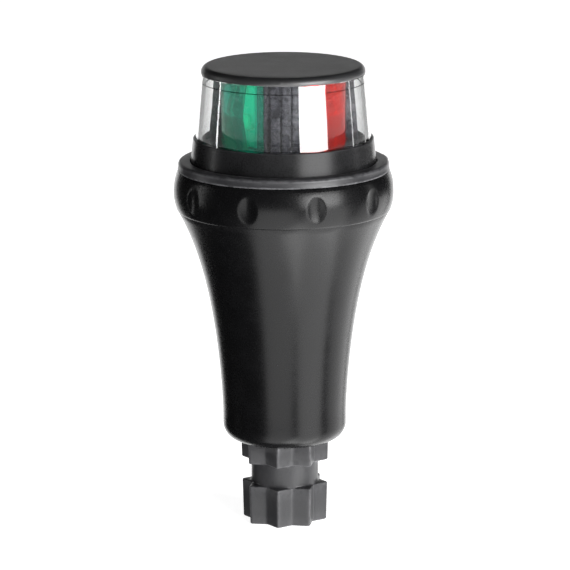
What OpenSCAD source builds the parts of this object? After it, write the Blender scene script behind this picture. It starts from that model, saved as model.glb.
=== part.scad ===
// Bow navigation light: a clear lantern head that screws onto a hand-grip battery case,
// which stands on an eight-pointed spigot. Millimetres, +Z up, bow towards -Y.
// The origin is the centre of the spigot's end face. Green shines to -X, red to +X.

/* [Spigot] */
// Length of the spigot from its end face to the underside of the grip
spigot_len = 30.6; // [24:0.1:40]
// Tip radius of the star at the end face
star_tip_r = 15.4; // [13:0.1:20]
// Draft of the star's faces, in degrees
star_draft = 1.35; // [0:0.05:2]
// Height of the lower star
star_low_h = 14.2; // [10:0.1:18]
// Length of the round locking neck above the lower star
neck_h = 8.4; // [5:0.1:12]
// Radius of the round locking neck
neck_r = 12.2; // [10.5:0.1:13]
// Turn of the star against the bow direction, in degrees
star_turn = -8.6; // [-22:0.1:22]
// Nominal diameter of the through screw
screw_d = 5; // [4:0.5:6]

/* [Cells] */
// Diameter of one cell
cell_d = 14.5; // [12:0.1:18]
// Length of one cell with its nub
cell_len = 50.5; // [44:0.1:62]
// Radial width of the carrier's end plates outside the cells
carrier_rim = 2.8; // [2:0.1:5]
// Thickness of the carrier's end plates
end_plate_t = 2.5; // [1.5:0.1:4]
// Space for a cell's contact spring
cell_spring_h = 5; // [3.5:0.1:8]

/* [Grip] */
// Wall of the grip moulding
wall = 2.8; // [2:0.1:4]
// Thickness of the grip's floor
floor_t = 6; // [5:0.1:9]
// Space under the battery carrier for the lift spring
lift_room = 9.4; // [8.5:0.1:14]
// Height from the top of the cells to the rim of the grip
shoulder_h = 25.9; // [21:0.1:34]
// Radius of the rounding under the grip
foot_round = 6; // [2:0.1:8]
// Height of the straight waist above the underside
waist_h = 11.4; // [8:0.1:16]
// Largest radius, at the middle of the finger band
band_r = 39.65; // [34:0.05:50]
// Height of the finger band below the rim
band_h = 14.3; // [12:0.1:18]
// Height from the rim down to the widest point
band_mid = 7.4; // [6:0.1:9]
// How far the band's lower edge lies inside its widest point
band_bulge = 1.35; // [0.6:0.05:2.5]
// Step between the flare and the band
crease_step = 0.15; // [0:0.05:0.4]
// Number of finger scallops round the band
scallop_count = 10; // [6:1:14]
// Depth of a scallop
scallop_depth = 1; // [0.5:0.1:1.5]
// Wall left behind a scallop
band_wall = 4.05; // [3:0.05:6]

/* [Head screw] */
// Axial lead of the head's screw thread
thread_lead = 4; // [3:0.1:5]
// Radial depth of a thread ridge
ridge_depth = 1.3; // [0.8:0.1:1.8]
// Turns of each thread ridge
ridge_turns = 1.25; // [1:0.05:1.5]
// Depth of the grip's threaded mouth
mouth_depth = 16.3; // [15:0.1:20]
// Cord diameter of the head's sealing ring
seal_d = 2; // [1.5:0.1:2.4]

/* [Head] */
// Gap at the seam between grip and head
seam_gap = 0.2; // [0.1:0.05:0.5]
// Height of the flange ring
ring_h = 3.3; // [2.5:0.1:5]
// Height of the collar above the flange ring
collar_h = 8.4; // [6:0.1:12]
// How far the collar's foot lies inside the finger band
collar_step = 6.3; // [5.5:0.1:9]
// Inward lean of the collar from foot to rim
collar_lean = 0.85; // [0:0.05:1.2]
// Wall of the collar at its rim
collar_lip = 0.9; // [0.7:0.05:2]
// Wall of the screwed skirt
skirt_wall = 2.5; // [2:0.1:3.5]

/* [Lantern] */
// Height of clear lens that shows between collar and cap
lens_show = 23.4; // [18:0.1:32]
// Wall of the clear lens
lens_wall = 2; // [1.5:0.1:3]
// Height of the rebate inside the clear lens's rim
rebate_h = 3.2; // [2:0.1:5]
// Inward lean of the clear lens over its showing height
lens_lean = 2.1; // [0.5:0.1:3]
// Height of the top cap
cap_h = 2.8; // [2.4:0.1:5]
// Radius of the cap's edge rounding
cap_round = 2.2; // [1:0.1:2.3]
// Radius of the coloured inner lenses
tint_r = 22.4; // [20:0.1:25]
// Width of the black pillar between the coloured lenses
pillar_w = 13; // [9:0.1:16]
// Arc from dead ahead to where each colour must stop, in degrees
sector = 112.5; // [110:0.5:115]
// Width of a lamp board
led_board_w = 9; // [7:0.1:10]
// Height of each lamp above the floor of the chamber
led_rise = 9.6; // [6:0.1:14]

/* [Hidden] */
$fn = 96;

// Clearances
slide_gap = 0.3;
fit_gap = 0.1;
seal_gap = 0.03;
touch_gap = 0.05;

// Heights of the root
z_under = spigot_len;
z_floor = z_under + floor_t;
z_pack = z_floor + lift_room;
z_cells = z_pack + end_plate_t + cell_spring_h;
z_cells_top = z_cells + cell_len;
z_top_plate = z_cells_top + 0.6;
z_rim = z_cells_top + shoulder_h;
z_crease = z_rim - band_h;
z_band = z_rim - band_mid;
z_waist = z_under + waist_h;
z_mouth = z_rim - mouth_depth;

// Heights of the head
z_ring = z_rim + seam_gap;
z_ring_top = z_ring + ring_h;
z_collar_top = z_ring_top + collar_h;
z_lens_top = z_collar_top + lens_show;
z_cap_top = z_lens_top + cap_h;
z_shelf_top = z_ring_top + 2;
shelf_t = 3.5;
z_shelf = z_shelf_top - shelf_t;
gasket_t = 0.8;
z_lens_foot = z_shelf_top + gasket_t;
z_chamber = z_collar_top - 2.2;
z_chamber_top = z_lens_top - 0.2;
z_rebate = z_lens_top - rebate_h;
z_skirt = z_mouth + 1.6;
z_board = z_skirt + 1.4;
board_t = 1.6;
contact_drop = 5.4;
contact_t = 0.6;
z_contact = z_board - contact_drop;

// Radii of the root
cell_ring_r = (cell_d / 2 + 0.12) * 2 / sqrt(3);
pack_r = cell_ring_r + cell_d / 2 + carrier_rim;
waist_r = pack_r + 1 + wall;
crease_r = band_r - band_bulge - crease_step;
band_arc_r = (band_bulge * band_bulge + (band_h - band_mid) * (band_h - band_mid)) / (2 * band_bulge);
rim_r = band_r - band_arc_r + sqrt(band_arc_r * band_arc_r - band_mid * band_mid);
mouth_r = band_r - scallop_depth - band_wall;
rib_t = 2.4;
rib_tip_r = pack_r - 1.6;

// Radii of the head
skirt_r = mouth_r - 0.3 - ridge_depth;
skirt_in_r = skirt_r - skirt_wall;
land_r = mouth_r - slide_gap;
land_h = 5.3;
groove_w = seal_d + 0.4;
z_groove = z_rim - 3.8;
collar_r = band_r - collar_step;
collar_top_r = collar_r - collar_lean;
lens_foot_r = collar_top_r - collar_lip - fit_gap;
lens_top_r = lens_foot_r - lens_lean;
lens_in_foot_r = lens_foot_r - lens_wall;
lens_slope = lens_lean / (z_lens_top - z_collar_top);
tongue_r = rim_r - 1.9;
tongue_t = 1.3;
z_tongue = z_ring + 0.9;
shelf_in_r = skirt_in_r - 7;

// Fasteners
screw_len = 30;
washer_t = 1;
seal_t = 1.2;
nut_h = 0.8 * screw_d;
z_nut = z_floor + seal_t + washer_t;
z_screw_tip = z_nut + nut_h + 0.7;
z_screw_seat = z_screw_tip - screw_len;
head_r = 0.85 * screw_d;
counterbore_r = head_r + 0.55;
register_side = 14;
register_h = 2.4;

// Places round the head
post_count = 3;
post_r = 3;
post_ring_r = skirt_in_r - post_r - 0.5;
optic_screw_ring_r = shelf_in_r + 2.2;
small_screw_r = 1.3;
led_azimuth = sector / 2;
led_ring_r = tint_r - 7.8;
led_board_t = 1.2;
z_led_board = z_chamber + 0.3;
led_board_h = z_chamber_top - z_led_board - 0.5;
upstand_w = led_board_w - 3;
upstand_t = 2;
rebate_t = 0.35;
bulkhead_y = 8.6;
bulkhead_t = 2.2;
thread_steps = 36;

// Share of the grip's flare reached at a share u of the height from waist to crease
function flare_share(u) = 0.187 * u + 0.57 * u * u + 0.243 * pow(u, 5);
function grip_r(z) = z <= z_waist ? waist_r
  : waist_r + (crease_r - waist_r) * flare_share((z - z_waist) / (z_crease - z_waist));
function arc(cx, cy, r, a, b, n) =
  [for (i = [0 : n]) let (t = a + (b - a) * i / n) [cx + r * cos(t), cy + r * sin(t)]];
function lens_out_r(z) = z <= z_collar_top ? lens_foot_r : lens_foot_r - lens_slope * (z - z_collar_top);
function lens_in_r(z) = lens_out_r(z) - lens_wall;
function star_r(z) = star_tip_r + z * tan(star_draft);
function unit(v) = v / norm(v);

// Turns children built facing the bow to an azimuth, positive towards +X
module at_azimuth(a, r = 0) {
  rotate([0, 0, a]) translate([0, -r, 0]) children();
}

module ring_of(count, r, first = 0) {
  for (i = [0 : count - 1]) at_azimuth(first + i * 360 / count, r) children();
}

module tube(r_out, r_in, h) {
  difference() {
    cylinder(r = r_out, h = h);
    translate([0, 0, -1]) cylinder(r = r_in, h = h + 2);
  }
}

// A closed sweep of rings, each ring a list of points
module skin(rings) {
  n = len(rings[0]);
  m = len(rings);
  polyhedron(
    points = [for (ring = rings) for (p = ring) p],
    faces = concat(
      [[for (j = [n - 1 : -1 : 0]) j]],
      [for (i = [0 : m - 2]) for (j = [0 : n - 1])
        [i * n + j, i * n + (j + 1) % n, (i + 1) * n + j]],
      [for (i = [0 : m - 2]) for (j = [0 : n - 1])
        [i * n + (j + 1) % n, (i + 1) * n + (j + 1) % n, (i + 1) * n + j]],
      [[for (j = [0 : n - 1]) (m - 1) * n + j]]
    )
  );
}

// A helix of a closed section given as [radius, height] points in turning order
module helix(section, turns, lead, first, steps) {
  skin([for (i = [0 : turns * steps]) let (t = first + 360 * i / steps)
    [for (p = section) [p[0] * cos(t), p[0] * sin(t), p[1] + lead * i / steps]]]);
}

module thread_ridge(base_r, crest_r, z, first) {
  in = crest_r < base_r ? -1 : 1;
  root = in * 0.9;
  crest = in * 0.5;
  helix([[base_r, z - root], [crest_r, z - crest], [crest_r, z + crest], [base_r, z + root]],
    ridge_turns, thread_lead, first, thread_steps);
}

module coil(r_low, r_high, wire_r, h, turns) {
  steps = 16;
  sides = 6;
  count = turns * steps;
  skin([for (i = [0 : count]) let (t = 360 * i / steps, u = i / count)
    [for (j = [0 : sides - 1]) let (r = r_low + (r_high - r_low) * u + wire_r * cos(360 * j / sides))
      [r * cos(t), r * sin(t), wire_r + (h - 2 * wire_r) * u + wire_r * sin(360 * j / sides)]]]);
}

// A round wire along points, for runs that never point along Y
module wire(points, r) {
  last = len(points) - 1;
  sides = 8;
  skin([for (i = [0 : last])
    let (along = unit(points[min(i + 1, last)] - points[max(i - 1, 0)]),
         side = unit(cross([0, 1, 0], along)), other = cross(along, side))
    [for (j = [0 : sides - 1])
      points[i] + r * cos(360 * j / sides) * side + r * sin(360 * j / sides) * other]]);
}

module star_prism(z, h) {
  translate([0, 0, z])
    rotate([0, 0, star_turn])
      linear_extrude(height = h, scale = star_r(z + h) / star_r(z))
        for (a = [0, 45]) rotate(a) square(star_r(z) * sqrt(2), center = true);
}

module star_spigot() {
  color("#2b2c2e") difference() {
    union() {
      star_prism(0, star_low_h);
      translate([0, 0, star_low_h - 1]) cylinder(r = neck_r, h = neck_h + 2);
      star_prism(star_low_h + neck_h, z_under - star_low_h - neck_h);
      translate([0, 0, z_under - 1 + (register_h + 1) / 2])
        cube([register_side, register_side, register_h + 1], center = true);
      at_azimuth(128, neck_r) translate([-1.5, -1.2, star_low_h - 0.5]) cube([3, 3, 3]);
    }
    translate([0, 0, -1]) cylinder(r = counterbore_r, h = z_screw_seat + 1);
    cylinder(r = screw_d / 2 + 0.25, h = z_under + register_h + 1);
  }
}

module spigot_screw() {
  color("silver") difference() {
    union() {
      translate([0, 0, z_screw_seat - screw_d]) cylinder(r = head_r, h = screw_d);
      translate([0, 0, z_screw_seat - 1]) cylinder(r = screw_d / 2, h = screw_len + 1);
    }
    translate([0, 0, z_screw_seat - screw_d - 1])
      cylinder(r = 0.8 * screw_d / sqrt(3), h = screw_d / 2 + 1, $fn = 6);
  }
}

module seal_washer() {
  color("#1a1a1a") translate([0, 0, z_floor]) tube(head_r + 2.2, screw_d / 2 + 0.2, seal_t);
}

module steel_washer() {
  color("silver") translate([0, 0, z_floor + seal_t]) tube(head_r + 1.2, screw_d / 2 + 0.2, washer_t);
}

module spigot_nut() {
  color("silver") translate([0, 0, z_nut]) difference() {
    cylinder(r = 1.6 * screw_d / sqrt(3), h = nut_h, $fn = 6);
    translate([0, 0, -1]) cylinder(r = screw_d / 2 + touch_gap, h = nut_h + 2);
  }
}

module scallop_cutter() {
  cutter_r = 7.5;
  bow_r = 38;
  half = 7;
  side = arc(cutter_r - bow_r, 0, bow_r, -asin(half / bow_r), asin(half / bow_r), 6);
  rotate_extrude() polygon(concat([[0, -half]], side, [[0, half]]));
}

module grip_body() {
  edge = 0.4;
  outline = concat(
    [[0, z_under]],
    arc(waist_r - foot_round, z_under + foot_round, foot_round, -90, 0, 8),
    [for (i = [0 : 22]) let (z = z_waist + (z_crease - z_waist) * i / 22) [grip_r(z), z]],
    arc(band_r - band_arc_r, z_band, band_arc_r,
      -asin((z_band - z_crease) / band_arc_r), asin((band_mid - edge) / band_arc_r), 14),
    [[rim_r - edge, z_rim], [0, z_rim]]
  );
  cavity = concat(
    [[0, z_floor], [waist_r - wall, z_floor], [waist_r - wall, z_waist]],
    [for (i = [1 : 20]) let (z = z_waist + (z_mouth - z_waist) * i / 20)
      [min(grip_r(z) - wall, mouth_r), z]],
    [[mouth_r, z_mouth + 0.01], [mouth_r, z_rim + 1], [0, z_rim + 1]]
  );
  rib_h = z_mouth - z_floor - 3;
  color("#202123") union() {
    difference() {
      rotate_extrude() polygon(outline);
      difference() {
        rotate_extrude() polygon(cavity);
        // three key ribs between the cells and three guide ribs beside them
        ring_of(3, 0, 60) translate([-rib_t / 2, -band_r, z_floor - 1])
          cube([rib_t, band_r - rib_tip_r, rib_h + 1]);
        ring_of(3, 0, 0) translate([-rib_t / 2, -band_r, z_floor - 1])
          cube([rib_t, band_r - pack_r - slide_gap, rib_h + 1]);
      }
      translate([0, 0, z_under - 1]) cylinder(r = screw_d / 2 + 0.25, h = floor_t + 2);
      translate([0, 0, z_under + register_h / 2 - 0.5])
        cube([register_side + 0.3, register_side + 0.3, register_h + 1.3], center = true);
      ring_of(scallop_count, band_r - scallop_depth + 7.5, 180 / scallop_count)
        translate([0, 0, z_band]) scallop_cutter();
    }
    thread_ridge(mouth_r + 0.5, mouth_r - ridge_depth, z_mouth + 3.6, 0);
  }
}

module lift_spring() {
  color("silver") translate([0, 0, z_floor + 0.02])
    coil(head_r + 8.3, head_r + 8.3, 0.6, lift_room - 0.04, 3.5);
}

module key_notches(z, h) {
  ring_of(3, 0, 60) translate([-rib_t / 2 - slide_gap, -band_r, z])
    cube([rib_t + 2 * slide_gap, band_r - rib_tip_r + slide_gap, h]);
}

module battery_carrier() {
  strut_ring_r = cell_ring_r + 5.2;
  boss_h = z_contact - contact_t - z_top_plate - 1;
  color("#3a3c40") difference() {
    union() {
      translate([0, 0, z_pack]) cylinder(r = pack_r, h = end_plate_t);
      translate([0, 0, z_top_plate]) cylinder(r = pack_r, h = end_plate_t);
      ring_of(3, strut_ring_r, 60) translate([0, 0, z_pack + 1])
        cylinder(r = 2, h = z_top_plate - z_pack);
      translate([0, 0, z_top_plate + 1]) tube(pack_r - 3, pack_r - 6, boss_h);
      translate([0, 0, z_top_plate + 1]) cylinder(r = 5, h = boss_h);
    }
    key_notches(z_pack - 1, z_rim);
    // nothing of the carrier stands above the seats of the stud and the ring
    translate([0, 0, z_contact - contact_t]) cylinder(r = pack_r + 1, h = end_plate_t + 1);
    // slots where the return strip passes the end plates
    at_azimuth(270, pack_r - 1.2) translate([-2.2, -1.4, z_pack - 1]) cube([4.4, 1.1, z_rim]);
  }
}

module cell(flipped) {
  nub_h = 1.4;
  body_h = cell_len - nub_h;
  // a flipped cell stands on its nub, with its spring above it
  place = flipped ? z_cells_top - cell_spring_h + 0.6 : z_cells;
  translate([0, 0, place]) mirror([0, 0, flipped ? 1 : 0]) union() {
    cylinder(r = cell_d / 2, h = body_h);
    translate([0, 0, body_h - 1]) cylinder(r = 0.19 * cell_d, h = nub_h + 1);
  }
}

module cell_1() {
  color("#c9a227") at_azimuth(0, cell_ring_r) cell(false);
}

module cell_2() {
  color("#c9a227") at_azimuth(120, cell_ring_r) cell(true);
}

module cell_3() {
  color("#c9a227") at_azimuth(240, cell_ring_r) cell(false);
}

module cell_springs() {
  h = cell_spring_h - 0.45;
  color("silver") {
    for (a = [0, 240]) at_azimuth(a, cell_ring_r)
      translate([0, 0, z_pack + end_plate_t + 0.42]) coil(4.6, 2.6, 0.4, h, 3);
    at_azimuth(120, cell_ring_r)
      translate([0, 0, z_cells_top - cell_spring_h + 0.62]) coil(2.6, 4.6, 0.4, h - 0.05, 3);
  }
}

module link(a, b, z) {
  pad_r = 4.9;
  for (t = [a, b]) at_azimuth(t, cell_ring_r) translate([0, 0, z]) cylinder(r = pad_r, h = 0.4);
  at_azimuth((a + b) / 2, cell_ring_r / 2) translate([-cell_ring_r * 0.87, -2, z])
    cube([cell_ring_r * 1.74, 4, 0.4]);
}

module cell_links() {
  color("#c8c8c0") {
    union() link(0, 120, z_pack + end_plate_t);
    union() link(120, 240, z_cells_top + 0.2);
    at_azimuth(240, cell_ring_r) translate([0, 0, z_pack + end_plate_t]) cylinder(r = 4, h = 0.4);
    at_azimuth(0, cell_ring_r) translate([0, 0, z_cells_top + 0.2]) cylinder(r = 4, h = 0.4);
  }
}

module return_strip() {
  color("#c8c8c0") at_azimuth(270, pack_r - 1.2)
    translate([-1.8, -1.1, z_pack - 0.4]) cube([3.6, 0.5, z_top_plate + end_plate_t - z_pack + 0.7]);
}

module centre_stud() {
  color("goldenrod") translate([0, 0, z_contact - contact_t]) cylinder(r = 4.4, h = contact_t);
}

module contact_ring() {
  color("goldenrod") translate([0, 0, z_contact - contact_t]) tube(pack_r - 3.2, pack_r - 5.8, contact_t);
}

module head_base() {
  outline = [
    [skirt_in_r, z_skirt], [skirt_r, z_skirt],
    [skirt_r, z_rim - land_h - 0.6], [land_r, z_rim - land_h],
    [land_r, z_groove], [mouth_r - seal_d - 0.05, z_groove],
    [mouth_r - seal_d - 0.05, z_groove + groove_w], [land_r, z_groove + groove_w],
    [land_r, z_tongue], [tongue_r, z_tongue], [tongue_r, z_tongue + tongue_t],
    [collar_r, z_tongue + tongue_t], [collar_r, z_ring_top],
    [collar_top_r, z_collar_top - 0.4], [collar_top_r - 0.4, z_collar_top],
    [lens_foot_r + fit_gap, z_collar_top], [lens_foot_r + fit_gap, z_shelf_top],
    [shelf_in_r, z_shelf_top], [shelf_in_r, z_shelf], [skirt_in_r, z_shelf]
  ];
  color("#242527") difference() {
    union() {
      rotate_extrude() polygon(outline);
      ring_of(post_count, post_ring_r, 30) translate([0, 0, z_board + board_t])
        cylinder(r = post_r, h = z_shelf - z_board - board_t + 1);
      thread_ridge(skirt_r - 0.5, mouth_r - 0.3, z_mouth + 2.93, 120);
    }
    ring_of(post_count, post_ring_r, 30) translate([0, 0, z_board])
      cylinder(r = small_screw_r + 0.02, h = 10);
    ring_of(post_count, optic_screw_ring_r, 90) translate([0, 0, z_shelf - 1])
      cylinder(r = small_screw_r + 0.3, h = shelf_t + 2);
  }
}

module head_o_ring() {
  color("#141414") translate([0, 0, z_groove + groove_w / 2])
    rotate_extrude() translate([mouth_r - seal_gap - seal_d / 2, 0]) circle(d = seal_d);
}

module flange_ring() {
  top_in = 1.4;
  lip = 0.5;
  outline = concat(
    [[land_r + 0.15, z_ring], [rim_r - lip, z_ring], [rim_r, z_ring + lip]],
    arc(rim_r - top_in, z_ring_top - top_in, top_in, 0, 90, 6),
    [[collar_r + 0.25, z_ring_top], [collar_r + 0.25, z_tongue + tongue_t + touch_gap],
     [tongue_r + 0.1, z_tongue + tongue_t + touch_gap], [tongue_r + 0.1, z_tongue - touch_gap],
     [land_r + 0.15, z_tongue - touch_gap]]
  );
  color("#2f3032") union() {
    rotate_extrude() polygon(outline);
    at_azimuth(103, tongue_r + 0.2) translate([-2.5, 0.2 + tongue_r - rim_r, z_ring + 1])
      cube([5, rim_r - tongue_r - 0.2, ring_h - 1]);
  }
}

module lens_gasket() {
  color("#141414") translate([0, 0, z_shelf_top])
    tube(lens_foot_r, lens_foot_r - lens_wall, gasket_t);
}

module clear_lens() {
  outline = [
    [lens_in_foot_r, z_lens_foot], [lens_foot_r, z_lens_foot], [lens_foot_r, z_collar_top],
    [lens_top_r, z_lens_top], [lens_in_r(z_lens_top) + rebate_t, z_lens_top],
    [lens_in_r(z_rebate) + rebate_t, z_rebate], [lens_in_r(z_rebate), z_rebate],
    [lens_in_foot_r, z_collar_top]
  ];
  color([0.85, 0.9, 0.92, 0.35]) rotate_extrude() polygon(outline);
}

module cap_bond_pad() {
  color("#555555") translate([0, 0, z_lens_top]) cylinder(r = lens_top_r - 4.6, h = 0.8);
}

module top_cap() {
  outline = concat(
    [[0, z_lens_top + 0.8], [lens_top_r - 4.4, z_lens_top + 0.8], [lens_top_r - 4.4, z_lens_top],
     [lens_top_r - 0.2, z_lens_top], [lens_top_r, z_lens_top + 0.2]],
    arc(lens_top_r - cap_round, z_cap_top - cap_round, cap_round, 0, 90, 8),
    [[0, z_cap_top]]
  );
  color("#3b3c3e") rotate_extrude() polygon(outline);
}

module optic_base() {
  base_r = lens_in_foot_r - slide_gap;
  plate_t = 2.2;
  color("#1c1d20") difference() {
    union() {
      translate([0, 0, z_chamber - plate_t]) cylinder(r = base_r, h = plate_t);
      translate([0, 0, z_shelf_top]) tube(base_r, base_r - 1.6, z_chamber - z_shelf_top - 1);
      ring_of(post_count, optic_screw_ring_r, 90) translate([0, 0, z_shelf_top])
        cylinder(r = 2.6, h = z_chamber - z_shelf_top - 1);
      // upstands that carry the two lamp boards
      for (s = [-1, 1]) at_azimuth(s * led_azimuth, led_ring_r - led_board_t)
        translate([-upstand_w / 2, 0, z_chamber - 1]) cube([upstand_w, upstand_t, led_board_h + 1]);
    }
    ring_of(post_count, optic_screw_ring_r, 90) translate([0, 0, z_shelf_top - 1])
      cylinder(r = small_screw_r + 0.02, h = z_chamber - z_shelf_top);
    for (s = [-1, 1]) translate([s * 6, 2.2, z_shelf_top]) cylinder(r = 2, h = 10);
  }
}

module inside_lens(gap) {
  translate([0, 0, z_chamber])
    cylinder(r1 = lens_in_foot_r - gap, r2 = lens_in_r(z_chamber_top) - gap,
      h = z_chamber_top - z_chamber);
}

module light_shield() {
  h = z_chamber_top - z_chamber;
  pillar_d = 8;
  color("#17181b") union() {
    intersection() {
      translate([-band_r, bulkhead_y - bulkhead_t / 2, z_chamber]) cube([2 * band_r, bulkhead_t, h]);
      inside_lens(0.9);
    }
    translate([-1.2, pillar_d - tint_r, z_chamber]) cube([2.4, bulkhead_y + tint_r - pillar_d, h]);
    difference() {
      intersection() {
        translate([-pillar_w / 2, -tint_r, z_chamber]) cube([pillar_w, pillar_d, h]);
        translate([0, 0, z_chamber]) cylinder(r = tint_r, h = h);
      }
      // sunk channel at the pillar's starboard edge, and a sunk panel above a short post
      translate([-pillar_w / 2 + 0.8, -tint_r - 1, z_chamber + 0.5]) cube([1.6, 3, h]);
      translate([-pillar_w / 2 + 2.4, -tint_r - 1, z_chamber + h * 0.53]) cube([3.2, 2, h]);
      translate([-0.9, -tint_r - 1, z_chamber + 0.5]) cube([0.8, 1.8, h]);
      translate([3, -tint_r - 1, z_chamber + 0.5]) cube([0.5, 1.8, h]);
    }
  }
}

module tint_lens(side) {
  start = asin((pillar_w / 2 + 0.25) / tint_r);
  stop = acos(-(bulkhead_y - bulkhead_t / 2 - slide_gap) / tint_r);
  low = z_chamber + 0.1;
  high = z_chamber_top - 0.1;
  thick = 4.6;
  thin = 2;
  difference() {
    rotate([0, 0, side > 0 ? start - 90 : -stop - 90]) rotate_extrude(angle = stop - start)
      polygon([[tint_r, low], [tint_r, high], [tint_r - thick, high],
        [tint_r - thin, (low + high) / 2], [tint_r - thick, low]]);
    translate([-pillar_w / 2 - 0.2, -tint_r - 1, low - 1]) cube([pillar_w + 0.4, tint_r, high - low + 2]);
  }
}

module starboard_lens() {
  color([0, 0.55, 0.35, 0.8]) tint_lens(-1);
}

module port_lens() {
  color([0.85, 0.1, 0.05, 0.8]) tint_lens(1);
}

module led_board(side) {
  at_azimuth(side * led_azimuth, led_ring_r - led_board_t / 2)
    translate([-led_board_w / 2, -led_board_t / 2, z_led_board])
      cube([led_board_w, led_board_t, led_board_h]);
}

module starboard_led_board() {
  color("#1f5c38") led_board(-1);
}

module port_led_board() {
  color("#1f5c38") led_board(1);
}

module led(side) {
  body = 5;
  at_azimuth(side * led_azimuth, led_ring_r) translate([0, 0, z_chamber + led_rise]) union() {
    translate([-body / 2, -1.4, -body / 2]) cube([body, 1.4, body]);
    rotate([90, 0, 0]) translate([0, 0, 1]) cylinder(r = 2, h = 0.7);
  }
}

module starboard_led() {
  color("#f2f2e6") led(-1);
}

module port_led() {
  color("#f2f2e6") led(1);
}

module driver_board() {
  color("#1f5c38") difference() {
    translate([0, 0, z_board]) cylinder(r = skirt_in_r - slide_gap, h = board_t);
    ring_of(post_count, post_ring_r, 30) translate([0, 0, z_board - 1])
      cylinder(r = small_screw_r + 0.3, h = board_t + 2);
  }
}

module driver_parts() {
  top = z_board + board_t;
  color("#2a2a2a") {
    translate([-12, -2, top]) cylinder(r = 4.2, h = 4.4);
    translate([2, -12, top]) cube([7, 7, 1.5]);
    translate([10, 4, top]) cube([4, 5, 1.8]);
    translate([-4, 9, top]) cube([3.2, 1.6, 1.2]);
    translate([2, 9, top]) cube([3.2, 1.6, 1.2]);
    translate([14, -3, top]) cylinder(r = 2.5, h = 7);
  }
}

module centre_contact() {
  color("goldenrod") translate([0, 0, z_contact + touch_gap])
    coil(2, 3.6, 0.4, contact_drop - touch_gap - 0.02, 4);
}

module ring_fingers() {
  leaf_t = 0.4;
  leaf_w = 2.4;
  leaf_slope = 44;
  reach = (contact_drop - touch_gap - leaf_t * (1 + cos(leaf_slope))) / sin(leaf_slope);
  color("goldenrod") ring_of(3, pack_r - 4.5, 0) union() {
    translate([-4.5, -leaf_w / 2, z_board - leaf_t]) cube([5, leaf_w, leaf_t]);
    translate([0, -leaf_w / 2, z_board - leaf_t]) rotate([0, 90 + leaf_slope, 0])
      translate([0, 0, -0.3]) cube([leaf_t, leaf_w, reach + 0.3]);
  }
}

module small_screws(r, first, z, length) {
  ring_of(post_count, r, first) union() {
    translate([0, 0, z - 1.8]) cylinder(r = 2.5, h = 1.8);
    translate([0, 0, z - 1]) cylinder(r = small_screw_r, h = length + 1);
  }
}

module board_screws() {
  color("silver") small_screws(post_ring_r, 30, z_board, 8);
}

module optic_screws() {
  color("silver") small_screws(optic_screw_ring_r, 90, z_shelf, z_chamber - 1.1 - z_shelf);
}

module lead_wires() {
  start = z_board + board_t + 0.05;
  wire_r = 0.55;
  // solder point on the back of a lamp board, beside its upstand
  back = led_ring_r - led_board_t - wire_r - touch_gap;
  along = (led_board_w + upstand_w) / 4 + 0.2;
  pad_x = back * sin(led_azimuth) + along * cos(led_azimuth);
  pad_y = along * sin(led_azimuth) - back * cos(led_azimuth);
  module lead(x, side, rise) {
    wire([[x, 2.2, start], [x, 2.2, start + 6], [x, 2.2, z_shelf], [x, 2.2, z_chamber + 0.5],
      [x + (side * pad_x - x) * 0.3, 2.2 + (pad_y - 2.2) * 0.3, z_chamber + rise - 1.5],
      [side * pad_x, pad_y, z_chamber + rise]], wire_r);
  }
  color("#b03030") for (s = [-1, 1]) {
    lead(s * 5.3, s, 4);
    lead(s * 6.7, s, 6.5);
  }
}

star_spigot();
spigot_screw();
seal_washer();
steel_washer();
spigot_nut();
grip_body();
lift_spring();
battery_carrier();
cell_1();
cell_2();
cell_3();
cell_springs();
cell_links();
return_strip();
centre_stud();
contact_ring();
head_base();
head_o_ring();
flange_ring();
lens_gasket();
clear_lens();
cap_bond_pad();
top_cap();
optic_base();
light_shield();
starboard_lens();
port_lens();
starboard_led_board();
port_led_board();
starboard_led();
port_led();
driver_board();
driver_parts();
centre_contact();
ring_fingers();
board_screws();
optic_screws();
lead_wires();
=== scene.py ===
import math

import bmesh
import bpy
import numpy as np
from mathutils import Matrix, Vector


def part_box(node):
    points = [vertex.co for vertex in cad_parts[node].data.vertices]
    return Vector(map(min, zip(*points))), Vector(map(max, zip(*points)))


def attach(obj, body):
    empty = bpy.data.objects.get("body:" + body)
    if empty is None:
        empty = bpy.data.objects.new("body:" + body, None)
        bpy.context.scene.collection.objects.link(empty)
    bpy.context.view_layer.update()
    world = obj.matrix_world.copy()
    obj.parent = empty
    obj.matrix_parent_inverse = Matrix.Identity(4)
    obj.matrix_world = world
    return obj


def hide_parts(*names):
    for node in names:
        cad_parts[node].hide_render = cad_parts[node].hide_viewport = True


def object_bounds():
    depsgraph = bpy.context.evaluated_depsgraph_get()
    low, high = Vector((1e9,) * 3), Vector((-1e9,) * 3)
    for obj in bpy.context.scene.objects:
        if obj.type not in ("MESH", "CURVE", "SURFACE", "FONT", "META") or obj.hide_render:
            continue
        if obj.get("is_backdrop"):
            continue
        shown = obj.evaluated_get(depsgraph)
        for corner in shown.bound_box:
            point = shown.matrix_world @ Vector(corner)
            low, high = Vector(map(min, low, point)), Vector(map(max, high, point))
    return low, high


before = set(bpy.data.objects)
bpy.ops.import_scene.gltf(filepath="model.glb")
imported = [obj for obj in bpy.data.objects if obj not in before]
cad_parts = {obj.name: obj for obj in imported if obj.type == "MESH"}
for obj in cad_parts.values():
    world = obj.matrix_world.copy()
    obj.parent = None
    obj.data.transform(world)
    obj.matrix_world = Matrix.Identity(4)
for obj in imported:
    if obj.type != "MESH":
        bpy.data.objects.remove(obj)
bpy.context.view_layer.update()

scene = bpy.context.scene

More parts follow.
